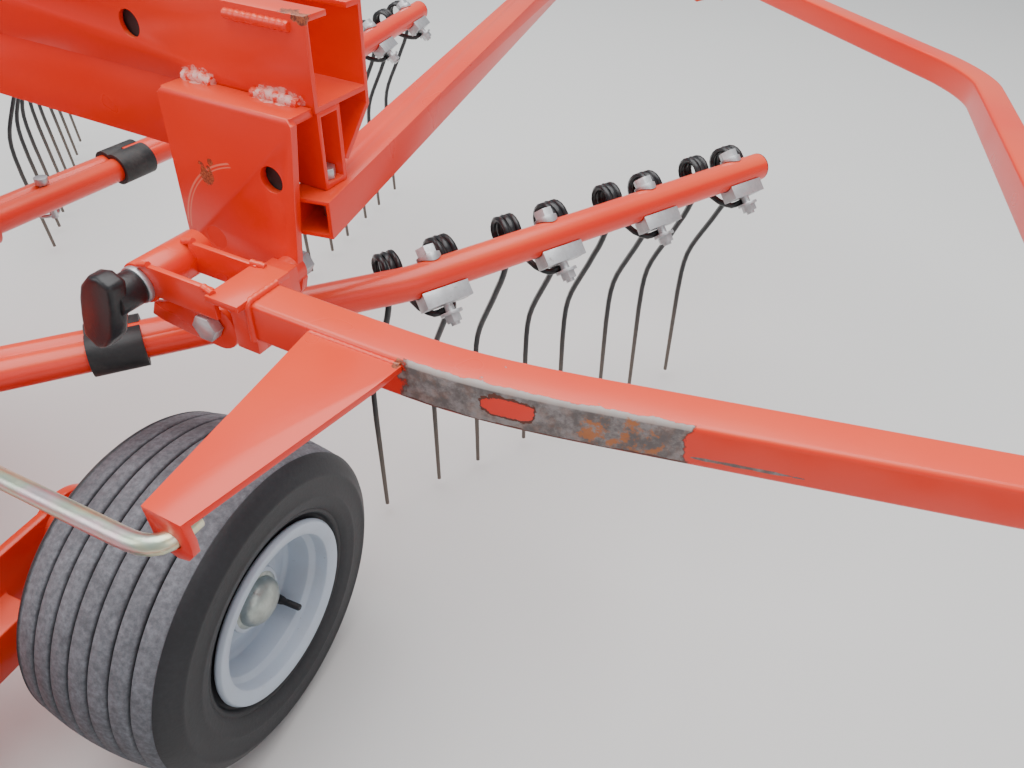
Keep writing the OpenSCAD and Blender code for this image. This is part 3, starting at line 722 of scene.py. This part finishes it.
# Stage: each light's name, place, aim, size in metres and power in watts, and the solved camera
LIGHTS = (
    ("light_sky", (0.4, 1.0, 5.5), (0.4, 0.4, 0), 7.0, 490),
    ("light_window", (-3.2, -3.0, 3.6), (0.6, 0.2, 0.5), 3.5, 85),
    ("light_fill", (4.5, -1.5, 2.2), (0.8, 0.3, 0.5), 3.0, 30),
)
SKY_COLOUR = (0.86, 0.90, 0.96, 1)
SKY_STRENGTH = 0.50
FLOOR_SIZE = 60
SENSOR_WIDTH = 36
CAMERA_PLACE = (1.3487, -0.2462, 1.0240)
CAMERA_AXES = ((0.9239, -0.2711, 0.2699), (0.3808, 0.5842, -0.7167), (0.0366, 0.7649, 0.6431))


class OBJECT_OT_rake_stage(bpy.types.Operator):
    """Sets the floor, the soft lights and the camera at the photograph's view"""

    bl_idname = "object.rake_stage"
    bl_label = "Stage"

    def execute(self, context):
        props = context.scene.rake_stage
        bpy.ops.object.select_all(action="DESELECT")
        bpy.ops.mesh.primitive_plane_add(size=FLOOR_SIZE, location=(0, 0, 0))
        floor = added("stage_floor")
        made = Finish("Floor", roughness=0.8)
        made.put("Base Color", props.floor[:])
        floor.data.materials.append(made.material)
        for name, at, aim, size, power in LIGHTS:
            spot = Vector(at)
            facing = (Vector(aim) - spot).to_track_quat("-Z", "Y").to_euler()
            bpy.ops.object.light_add(type="AREA", location=spot, rotation=facing)
            lamp = bpy.context.object
            lamp.name = name
            lamp.data.shape = "DISK"
            lamp.data.size = size
            lamp.data.energy = power
        world = bpy.data.worlds.new("Studio")
        world.use_nodes = True
        sky = world.node_tree.nodes["Background"].inputs
        sky["Color"].default_value = SKY_COLOUR
        sky["Strength"].default_value = SKY_STRENGTH
        context.scene.world = world
        turn = Matrix(CAMERA_AXES).to_euler()
        bpy.ops.object.camera_add(location=CAMERA_PLACE, rotation=turn)
        camera = bpy.context.object
        camera.name = "photo_camera"
        camera.data.lens = props.lens
        camera.data.sensor_width = SENSOR_WIDTH
        camera.data.clip_start = 0.01
        context.scene.camera = camera
        return {"FINISHED"}


# Wheels, in millimetres from the wheel's centre
TREAD_RADIUS = 206
TREAD_HALF = 85
CROWN_DROP = 9
GROOVE_WIDTH = 3.8
RIB_EDGE = 1.4
VALVE_RADIUS = 74
TYRE_STEPS = 120

# Dust: how far the tread's reaches past its edge, how deep on a rib, and its share on the sides
DUST_PAST_TREAD = 1.5
DUST_DEPTH = 2.2
SIDE_DUST = 0.06

# Turns of the valves, in degrees, so that no two wheels stand alike
FIRST_VALVE = 35
VALVE_STEP = 70

# Outlines turned about the axle, as (radius, distance along the axle) points
TYRE_SIDE = [(101, 90), (119, 90), (121, 92), (123, 96), (126, 97.5), (128, 97), (132, 101), (137, 103.4),
             (144, 105), (146, 105.9), (149, 105.9), (151, 105.2), (160, 106), (170, 105.2), (172, 106),
             (175, 105.6), (177, 104), (184, 100.6), (190, 96.6), (195, 91.5), (197, 88)]
RIM = [(20.1, -74), (44, -74), (44, 24), (50, 28), (64, 33), (78, 33), (85, 29), (89, 20), (89, -74),
       (95.7, -80), (95.7, -98), (104, -101), (113, -102), (116, -96), (114, -92), (100.7, -91),
       (100.7, -74), (94, -66), (94, 66), (100.7, 74), (100.7, 91), (114, 92), (116, 96), (113, 102),
       (104, 101), (95.7, 98), (95.7, 80), (89, 74), (89, 42), (84, 38), (78, 38), (62, 41), (52, 38),
       (44, 38), (42, 44), (42, 58), (40, 60), (20.1, 60), (20.1, -74)]
HUB_CAP = [(0, 82), (8, 81.6), (17, 79.6), (24, 76), (29, 71), (31, 66), (31.6, 61), (36, 60.6), (36.6, 60),
           (36.6, 58.2), (20.4, 58.2), (20.4, 70), (0, 70)]
VALVE = [(0, 84), (3.4, 84), (4.4, 82.5), (4.4, 60), (5.6, 56), (7.5, 38), (0, 38), (0, 84)]


def tread_crown(y):
    """Radius of the tread at a distance from its middle."""
    return TREAD_RADIUS - CROWN_DROP * (y / TREAD_HALF) ** 2


def groove_outline(edge, depth):
    """Outline of the groove that ends at the edge of a rib."""
    floor = tread_crown(edge) - depth
    return [(floor + 1, edge - GROOVE_WIDTH + 0.3), (floor, edge - GROOVE_WIDTH + 1.2),
            (floor, edge - 1.2), (floor + 1, edge - 0.3)]


def rib_outline(low, high, first, last):
    """Outline of a rib with its edges rounded off, and drawn out to the tyre's sides at the ends."""
    middle = (low + high) / 2
    return [(tread_crown(low) - 1.2, low - first), (tread_crown(low + RIB_EDGE), low + RIB_EDGE),
            (tread_crown(middle), middle),
            (tread_crown(high - RIB_EDGE), high - RIB_EDGE), (tread_crown(high) - RIB_EDGE, high + last)]


def tyre_outline(ribs, depth):
    """Outline of a tyre from bead to bead: rounded ribs, square grooves and stepped sides."""
    width = (2 * TREAD_HALF - (ribs - 1) * GROOVE_WIDTH) / ribs
    points = []
    for k in range(ribs):
        low = -TREAD_HALF + k * (width + GROOVE_WIDTH)
        if k:
            points += groove_outline(low, depth)
        points += rib_outline(low, low + width, k == 0, k == ribs - 1)
    return [(r, -z) for r, z in TYRE_SIDE] + points + [(r, z) for r, z in reversed(TYRE_SIDE)]


def dusted(tyre):
    """Marks where dust lies on a tyre: all of a rib, a little of its sides and none of a groove."""
    dust = tyre.data.attributes.new("dust", "FLOAT", "POINT")
    for vertex, item in zip(tyre.data.vertices, dust.data):
        radius = math.hypot(vertex.co.x, vertex.co.y)
        z = vertex.co.z
        if abs(z) > TREAD_HALF + DUST_PAST_TREAD:
            item.value = SIDE_DUST
        else:
            item.value = 1.0 if radius > tread_crown(z) - DUST_DEPTH else 0.0
    return tyre


class OBJECT_OT_rake_wheels(bpy.types.Operator):
    """Turns the ribbed tyres and dished rims, with hub caps and valves"""

    bl_idname = "object.rake_wheels"
    bl_label = "Wheels"

    def execute(self, context):
        props = context.scene.rake_wheel
        outline = tyre_outline(props.ribs, props.groove)
        tyre = dusted(smooth(turned("tyre_form", outline + outline[:1], TYRE_STEPS), 50))
        dish = smooth(rounded(turned("rim_form", RIM, TYRE_STEPS), 1.6, 25), 40)
        cap = smooth(turned("cap_form", HUB_CAP, 64), 40)
        valve = place(turned("valve_form", VALVE, 24), Matrix.Translation((VALVE_RADIUS, 0, 0)))
        smooth(valve, 40)
        for index, (side, end, where) in enumerate(WHEELS):
            matrix = wheel_matrix(side, end)
            lean = Matrix.Rotation(math.radians(FIRST_VALVE + VALVE_STEP * index), 4, "Z")
            body = "wheel_" + where
            fitted(copied(tyre, "tyre_" + where, matrix), body, "tyre", f"tyre_{index + 1}")
            fitted(copied(dish, "rim_" + where, matrix), body, "rim", f"rim_{index + 1}")
            fitted(copied(cap, "hub_cap_" + where, matrix), body, "cap")
            fitted(copied(valve, "valve_" + where, matrix @ lean), body, "rubber")
        for form in (tyre, dish, cap, valve):
            removed(form)
        return {"FINISHED"}


# Tine arms: the cap on a tube's end as (radius, height) points, and how far it is pushed in
END_CAP = [(0, 6), (12, 5.6), (17, 4.4), (19.6, 2.4), (21.2, 1.6), (21.4, 0), (0, 0)]
CAP_SEAT = 0.4

# The two lobes of a tube's flattened inner end, as (place along the arm, distance from its middle)
LOBE_WIDTH = 34
LOBE = ((TUBE_START, 7), (830, 7), (873, 4))
LOBE_RADII = [1, 1, 0.9]


def arm_path():
    """The bent tube's middle line in the arm's frame."""
    cut = BEND_RADIUS * math.tan(BEND / 2)
    steps = 8
    points = [(TUBE_START, 0, 0)]
    for k in range(steps + 1):
        angle = BEND * k / steps
        points.append((BEND_AT - cut + BEND_RADIUS * math.sin(angle), BEND_RADIUS * (1 - math.cos(angle)), 0))
    points.append((BEND_AT + OUTER_LENGTH * math.cos(BEND), OUTER_LENGTH * math.sin(BEND), 0))
    return points


class OBJECT_OT_rake_arms(bpy.types.Operator):
    """Draws the bent tine arms with their flattened inner ends and caps"""

    bl_idname = "object.rake_arms"
    bl_label = "Tine arms"

    def execute(self, context):
        tube = bar("tube_form", arm_path(), TUBE_WIDTH, 7)
        lobes = [bar("lobe_form", [(x, side * y, 0) for x, y in LOBE], LOBE_WIDTH, 6, LOBE_RADII)
                 for side in (-1, 1)]
        arm = smooth(joined("arm_form", [tube] + lobes), 40)
        end = Matrix.Translation((OUTER_LENGTH - CAP_SEAT, 0, 0)) @ Matrix.Rotation(math.pi / 2, 4, "Y")
        cap = place(smooth(turned("end_cap_form", END_CAP, 40), 40), end)
        for i in range(ARM_COUNT):
            number = f"{i + 1:02d}"
            fitted(copied(arm, "arm_" + number, arm_matrix(i)), "rotor", "plain_red", "tine_arm_" + number)
            fitted(copied(cap, "end_cap_" + number, outer_matrix(i)), "rotor", "plastic")
        for form in (arm, cap):
            removed(form)
        return {"FINISHED"}


# A double tine from an outer tube's axis, in millimetres: the coil's place, radius, first angle and turns,
# half the span from the middle of one coil to that of the other, the wire's taper at its tips, and the prong
# below the coil as (y, z)
COIL_Y = 52.5
COIL_Z = -8
COIL_RADIUS = 21
COIL_START = math.radians(-72)
COIL_TURNS = 2 + 257 / 360
COIL_STEPS = 50
HALF_SPAN = 39
TIP = 0.78
PRONG = [(31.5, -21), (32, -34), (34.5, -49), (39, -64), (45, -80), (53, -97), (64, -122), (77, -149),
         (88.5, -173), (97, -193), (103, -212), (106.5, -232), (108, -256), (107.6, -300), (98, -489)]


def tine_path(pitch):
    """Half of a double tine, from the middle of its bridge through its coil to its tip."""
    first = HALF_SPAN - COIL_TURNS * pitch / 2
    points = [(0, -21.6, -40), (4, -21.4, -40.3), (9, -20, -42.2), (14, -16.8, -44), (19, -9, -43.6),
              (first - 2.5, 2, -42), (first - 0.6, 16, -38.5), (first, 32, -34.5), (first, 46, -31)]
    for k in range(COIL_STEPS + 1):
        share = k / COIL_STEPS
        angle = COIL_START + share * COIL_TURNS * 2 * math.pi
        points.append((first + share * COIL_TURNS * pitch, COIL_Y + COIL_RADIUS * math.cos(angle),
                       COIL_Z + COIL_RADIUS * math.sin(angle)))
    x = points[-1][0]
    return points + [(x, y, z) for y, z in PRONG]


class OBJECT_OT_rake_tines(bpy.types.Operator):
    """Coils the double spring tines and hangs four on each arm"""

    bl_idname = "object.rake_tines"
    bl_label = "Double tines"

    def execute(self, context):
        props = context.scene.rake_tine
        half = tine_path(props.pitch)
        whole = [(-x, y, z) for x, y, z in reversed(half)] + half[1:]
        radii = [TIP] + [1.0] * (len(whole) - 2) + [TIP]
        tine = smooth(bar("tine_form", whole, props.wire, 1, radii), 60)
        for i in range(ARM_COUNT):
            hung = []
            for k in range(TINES_PER_ARM):
                along = Matrix.Translation((OUTERMOST_TINE - TINE_SPACING * k, 0, 0))
                hung.append(copied(tine, "hung", outer_matrix(i) @ along))
            fitted(joined(f"double_tines_{i + 1:02d}", hung), "rotor", "spring", f"tines_{i + 1:02d}")
        removed(tine)
        return {"FINISHED"}


# Frame and guard: the nodes that are copied, each with its finish and its edges' rounding in millimetres
PLAIN_COPIES = (
    ("rotor_housing", "plain_red", 2.0), ("arm_holders", "plain_red", 1.0), ("gearbox", "plain_red", 3.0),
    ("column", "plain_red", 1.5), ("chassis", "plain_red", 2.5), ("tandem_outer", "red", 2.0),
    ("tandem_inner", "red", 2.0), ("head_arm", "plain_red", 2.5), ("beam_box", "red", 1.0),
    ("beam_tube", "red", 1.4), ("end_flange", "plain_red", 1.5), ("hinge_plate", "red", 1.0),
    ("strut", "plain_red", 3.0), ("far_hinge", "plain_red", 1.5), ("stay_guide", "plain_red", 1.5),
    ("far_collar", "plain_red", 2.0), ("guard_bracket", "hoop", 1.2),
    ("arm_collars", "rubber", 1.5), ("tine_clamps", "cast", 1.2), ("arm_pins", "zinc", 0.8),
    ("input_shaft", "zinc", 1.0), ("axles", "zinc", 1.5), ("frame_bolts", "zinc", 0.9),
)

# The pivot bolt's head in the beam's frame: its place (x, z), how far it reaches about that and to the back,
# and how far it is moved back
PIVOT = (859, 603)
HEAD_REACH = 24
HEAD_BACK = 359
HEAD_MOVE = 16


def body_of(node):
    """The body that carries a node."""
    for body, members in frame["record"]["behaviour"]["bodies"].items():
        if node in members:
            return body
    raise RuntimeError("no body holds " + node)


def seated(bolts):
    """Sets the pivot bolt's head down on the yoke's near plate."""
    back = CARRIER.inverted()
    alone(bolts)
    bpy.ops.object.mode_set(mode="EDIT")
    bpy.ops.mesh.select_mode(type="VERT")
    bpy.ops.mesh.select_all(action="DESELECT")
    bpy.ops.object.mode_set(mode="OBJECT")
    for vertex in bolts.data.vertices:
        at = back @ vertex.co
        vertex.select = math.dist((at.x, at.z), PIVOT) < HEAD_REACH and at.y < HEAD_BACK
    bpy.ops.object.mode_set(mode="EDIT")
    bpy.ops.transform.translate(value=CARRIER.to_3x3() @ Vector((0, HEAD_MOVE, 0)))
    bpy.ops.object.mode_set(mode="OBJECT")


class OBJECT_OT_rake_sheetwork(bpy.types.Operator):
    """Rounds the edges of the frame's plates, tubes and castings and paints them"""

    bl_idname = "object.rake_sheetwork"
    bl_label = "Sheet metal and castings"

    def execute(self, context):
        for node, finish, edge in PLAIN_COPIES:
            piece = finished_copy(node, "finished_" + node, edge * 0.001, fold=node == "hinge_plate")
            if node == "frame_bolts":
                seated(piece)
            fitted(piece, body_of(node), finish, node)
        return {"FINISHED"}


# The guard's hoop and the stay rod in the beam's frame: their middle lines from above, and their heights
HOOP_HEIGHT = 624
HOOP_WIDTH = 40
HOOP_CORNER = 5
HOOP_PATH = [(909, 391), (1050, 391), (1112, 394), (1180, 406), (1260, 425.5), (1568, 501.7), (1596, 511),
             (1614, 530), (1618, 556), (1465, 1362), (1456, 1405), (1432, 1452), (1398, 1497), (1362, 1531),
             (1134, 1750), (966, 1911), (944, 1925), (912, 1928)]
STAY_WIDTH = 15
STAY_INNER = (700, 590)
STAY_OUTER = (1026, 617)
STAY_PATH = [(700, 156.5), (800, 156.5), (900, 156.5), (990, 156.5), (1002, 156.8), (1010, 157.8),
             (1017, 160.2), (1022, 164), (1025, 169), (1026, 176), (1026, 190.5)]


def eased(path, rounds=2):
    """A path at the hoop's height with its corners cut, keeping its ends."""
    points = [Vector((x, y, HOOP_HEIGHT)) for x, y in path]
    for _ in range(rounds):
        cut = [points[0]]
        for a, b in zip(points, points[1:]):
            reach = min(0.25, 30 / (b - a).length)
            cut += [a.lerp(b, reach), b.lerp(a, reach)]
        points = cut + [points[-1]]
    return points


def square_section(width, radius, steps=5):
    """Outline of a square tube with rounded corners."""
    points = []
    for q, (sx, sy) in enumerate(((1, 1), (-1, 1), (-1, -1), (1, -1))):
        for k in range(steps + 1):
            angle = math.radians(90 * q + 90 * k / steps)
            points.append((sx * (width / 2 - radius) + radius * math.cos(angle),
                           sy * (width / 2 - radius) + radius * math.sin(angle)))
    return points


class OBJECT_OT_rake_guard(bpy.types.Operator):
    """Bends the guard hoop's square tube and the plated stay rod"""

    bl_idname = "object.rake_guard"
    bl_label = "Guard hoop and stay rod"

    def execute(self, context):
        hoop = bar("guard_tube", eased(HOOP_PATH), outline=square_section(HOOP_WIDTH, HOOP_CORNER))
        place(smooth(hoop, 30), CARRIER)
        fitted(hoop, "guard", "hoop", "guard_hoop")
        (x_in, z_in), (x_out, z_out) = STAY_INNER, STAY_OUTER
        slope = (z_out - z_in) / (x_out - x_in)
        stay = bar("stay_rod_bent", [(x, y, z_in + slope * (x - x_in)) for x, y in STAY_PATH], STAY_WIDTH, 7)
        rounded(stay, 1.2, 50)
        place(smooth(stay, 40), CARRIER)
        fitted(stay, "stay", "rod", "stay_rod")
        return {"FINISHED"}


# The yoke and the latch in the beam's frame: the near plate from the front, as (x, z) with a round end,
# the weldment's other plates as two corners each, and the grip from the front
EYE = (861, 600)
EYE_RADIUS = 25
EYE_ARC = [math.radians(a) for a in range(105, -91, -15)]
NEAR_PLATE = [(776, 584), (783, 600), (822, 613)]
NEAR_PLATE += [(EYE[0] + EYE_RADIUS * math.cos(a), EYE[1] + EYE_RADIUS * math.sin(a)) for a in EYE_ARC]
NEAR_PLATE += [(822, 577), (791, 580)]
YOKE_BLOCKS = (((792, 364, 618), (878, 370, 650)), ((800, 414, 618), (884, 420, 650)),
               ((876, 358, 641), (913, 425, 648)), ((876, 382, 588), (913, 425, 643)),
               ((887, 372, 588), (913, 384, 643)), ((846, 424, 588), (877, 473, 618)))
GRIP = [(764, 641), (778, 654), (791, 657), (806, 650), (798, 622), (791, 604), (785, 590), (770, 574),
        (757, 566), (741, 579), (748, 604), (756, 626)]
NEAR_PLATE_Y = 374
NEAR_PLATE_WIDTH = 6
GRIP_Y = 321
GRIP_WIDTH = 20
LATCH_X = 786
LATCH_Z = 627

# Round pieces of the latch, the bush that fills a plate's hole, and black discs behind two of the plates'
# holes as painted shade inside them, as (diameter, length, centre, sides, rounding of the ends' edges)
LATCH_TUBE = (41, 75, (LATCH_X, 401.5, LATCH_Z), 56, 1.5)
LATCH_RING = (37, 6, (LATCH_X, 361.5, LATCH_Z), 48, 1.2)
LATCH_SLEEVE = (34, 30, (LATCH_X, 346, LATCH_Z), 48, 2.0)
LATCH_BUSH = (36, 7.7, (763.4, 485, 612), 48, 0)
HOLE_SHADE_DISC = (38, 5, (854, 492, 695), 32, 0)
SERVICE_HOLE_SHADE_DISC = (32, 3, (671, 522.5, 800), 32, 0)


def round_piece(name, body, finish, sizes, *nodes):
    """A finished round piece that lies along Y in the beam's frame."""
    piece = place(smooth(rod(name, *sizes), 40), CARRIER)
    fitted(piece, body, finish, *nodes)


class OBJECT_OT_rake_yoke(bpy.types.Operator):
    """Builds the guard's welded yoke with its latch tube, and the latch's black grip"""

    bl_idname = "object.rake_yoke"
    bl_label = "Yoke and latch"

    def execute(self, context):
        front = [Vector((x, NEAR_PLATE_Y, z)) for x, z in NEAR_PLATE]
        parts = [slab("yoke_plate", front, (0, NEAR_PLATE_WIDTH, 0))]
        parts += [block("yoke_block", low, high) for low, high in YOKE_BLOCKS]
        for part in parts:
            rounded(part, 1.3, 40)
        parts.append(rod("latch_tube", *LATCH_TUBE))
        yoke = place(smooth(joined("yoke_weldment", parts), 40), CARRIER)
        fitted(yoke, "guard", "red", "guard_yoke")
        round_piece("latch_ring", "guard", "zinc", LATCH_RING, "latch_pin")
        front = [Vector((x, GRIP_Y, z)) for x, z in GRIP]
        grip = rounded(slab("latch_grip", front, (0, GRIP_WIDTH, 0)), 5, 40, 4)
        sleeve = rod("latch_sleeve", *LATCH_SLEEVE)
        handle = place(smooth(joined("latch_lever", [grip, sleeve]), 45), CARRIER)
        fitted(handle, "guard", "plastic", "latch_handle")
        round_piece("latch_bush", "frame", "red", LATCH_BUSH)
        # Black discs behind two holes, standing as painted shade inside them
        round_piece("hole_shade_disc", "frame", "rubber", HOLE_SHADE_DISC)
        round_piece("service_hole_shade_disc", "frame", "rubber", SERVICE_HOLE_SHADE_DISC)
        return {"FINISHED"}


# Weld beads, as (name, body, width, path) in the beam's frame
WELDS = (
    ("weld_flange_left", "frame", 12, [(733, 512.5, 763), (751, 514, 765), (769, 513, 763)]),
    ("weld_flange_right", "frame", 12, [(818, 513, 763), (838, 514, 765), (873, 512.5, 763)]),
    ("weld_lip", "frame", 10, [(800, 514, 829), (872, 514, 829)]),
    ("weld_collar_hoop", "guard", 7, [(912.5, 370, 606), (912.5, 370, 642), (912.5, 374, 645.5),
                                      (912.5, 408, 645.5)]),
    ("weld_bracket", "guard", 5, [(979, 370.6, 639), (1068, 371.2, 639)]),
    ("weld_yoke_near_in", "guard", 7, [(868, 366, 649.5), (882, 363, 648.5)]),
    ("weld_yoke_near_out", "guard", 7, [(790, 366, 647), (803, 366, 651)]),
    ("weld_yoke_far_in", "guard", 7, [(876, 417, 650), (890, 420, 648.5)]),
    ("weld_yoke_far_out", "guard", 7, [(792, 417, 647), (806, 417, 651)]),
)


class OBJECT_OT_rake_welds(bpy.types.Operator):
    """Lays the painted weld beads at the beam, the guard and the bracket"""

    bl_idname = "object.rake_welds"
    bl_label = "Weld beads"

    def execute(self, context):
        for index, (name, body, width, path) in enumerate(WELDS):
            piece = place(smooth(bead(name, path, width, index * 3.1), 60), CARRIER)
            fitted(piece, body, "red")
        return {"FINISHED"}


# Panel and registration


class VIEW3D_PT_rake(bpy.types.Panel):
    """Lists the unit's settings and the operators that finish it"""

    bl_idname = "VIEW3D_PT_rake"
    bl_label = "Hay rake rotor unit"
    bl_space_type = "VIEW_3D"
    bl_region_type = "UI"
    bl_category = "Hay Rake"

    def draw(self, context):
        for group in ("rake_paint", "rake_wheel", "rake_tine", "rake_stage"):
            props = getattr(context.scene, group)
            for name in props.__annotations__:
                self.layout.prop(props, name)
        for operator in OPERATORS:
            self.layout.operator(operator.bl_idname)


GROUPS = (("rake_paint", RakePaintProps), ("rake_wheel", RakeWheelProps), ("rake_tine", RakeTineProps),
          ("rake_stage", RakeStageProps))
OPERATORS = (OBJECT_OT_rake_stage, OBJECT_OT_rake_sheetwork, OBJECT_OT_rake_wheels, OBJECT_OT_rake_arms,
             OBJECT_OT_rake_tines, OBJECT_OT_rake_guard, OBJECT_OT_rake_yoke, OBJECT_OT_rake_welds)


def register():
    for name, group in GROUPS:
        bpy.utils.register_class(group)
        setattr(bpy.types.Scene, name, bpy.props.PointerProperty(type=group))
    for operator in OPERATORS:
        bpy.utils.register_class(operator)
    bpy.utils.register_class(VIEW3D_PT_rake)


def unregister():
    bpy.utils.unregister_class(VIEW3D_PT_rake)
    for operator in reversed(OPERATORS):
        bpy.utils.unregister_class(operator)
    for name, group in reversed(GROUPS):
        delattr(bpy.types.Scene, name)
        bpy.utils.unregister_class(group)


def main():
    register()
    bpy.ops.object.rake_stage()
    bpy.ops.object.rake_sheetwork()
    bpy.ops.object.rake_wheels()
    bpy.ops.object.rake_arms()
    bpy.ops.object.rake_tines()
    bpy.ops.object.rake_guard()
    bpy.ops.object.rake_yoke()
    bpy.ops.object.rake_welds()


if __name__ == "__main__":
    main()
